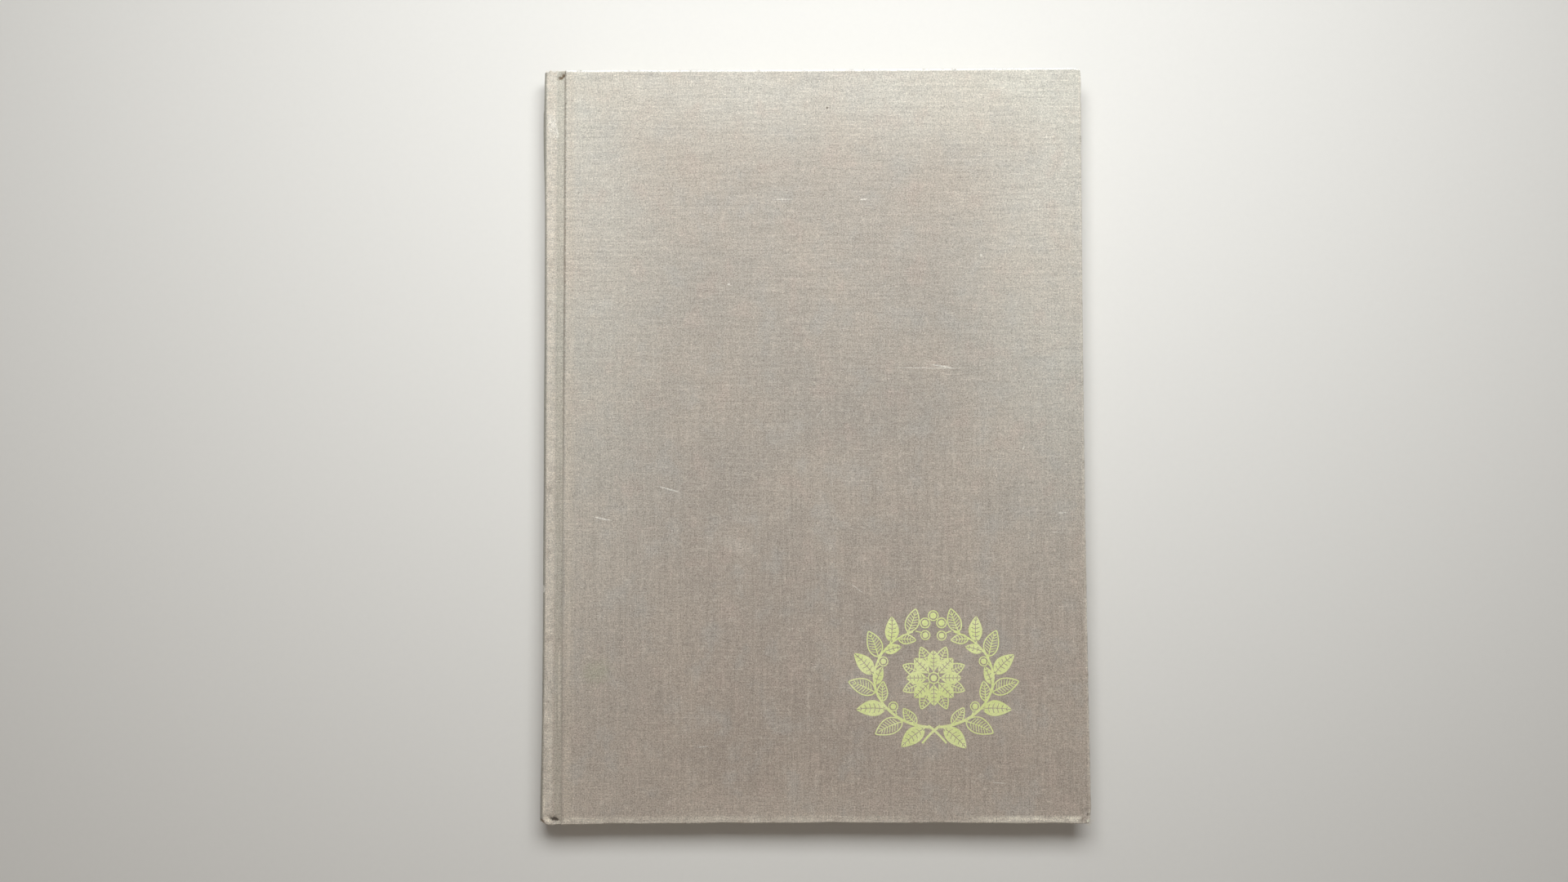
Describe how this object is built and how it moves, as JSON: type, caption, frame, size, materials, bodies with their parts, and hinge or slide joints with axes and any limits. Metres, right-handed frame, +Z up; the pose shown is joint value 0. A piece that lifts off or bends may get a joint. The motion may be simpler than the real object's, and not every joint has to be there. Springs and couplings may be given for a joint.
{
  "type": "hardcover book",
  "caption": "Slim large-format hardcover book, closed: cloth-bound boards with a pressed joint, round spine, squares past the page block, both covers open on cloth hinges.",
  "frame": {"origin": "middle of the footprint, on the surface the book lies on", "axes": "+X from the round spine to the fore edge, +Y from tail to head, +Z up from the back cover to the front cover"},
  "size_m": [0.2276, 0.315, 0.014],
  "materials": {
    "book_cloth": "matte",
    "page_paper": "matte",
    "endpaper": "matte",
    "kraft_paper": "matte",
    "grey_board": "matte",
    "gauze": "matte",
    "band_thread": "matte",
    "thread": "matte",
    "gilt": "satin"
  },
  "bodies": {
    "text_block": {"pages": "page_paper", "sewing_thread": "thread", "front_flyleaf": "endpaper", "back_flyleaf": "endpaper", "mull": "gauze", "spine_lining": "kraft_paper", "head_band": "band_thread", "tail_band": "band_thread", "spine_inlay": "kraft_paper", "spine_cloth": "book_cloth"},
    "front_cover": {"front_board": "grey_board", "front_cover_cloth": "book_cloth", "front_pastedown": "endpaper", "front_mull_flap": "gauze"},
    "back_cover": {"back_board": "grey_board", "back_cover_cloth": "book_cloth", "back_pastedown": "endpaper", "back_mull_flap": "gauze"}
  },
  "joints": [
    {"name": "front_cover_hinge", "type": "hinge", "parent": "text_block", "child": "front_cover", "pos_m": [-0.1099, 0, 0.0123], "axis": [0, -1, 0], "range_deg": [0, 178]},
    {"name": "back_cover_hinge", "type": "hinge", "parent": "text_block", "child": "back_cover", "pos_m": [-0.1099, 0, 0.0017], "axis": [0, 1, 0], "range_deg": [0, 178]}
  ]
}
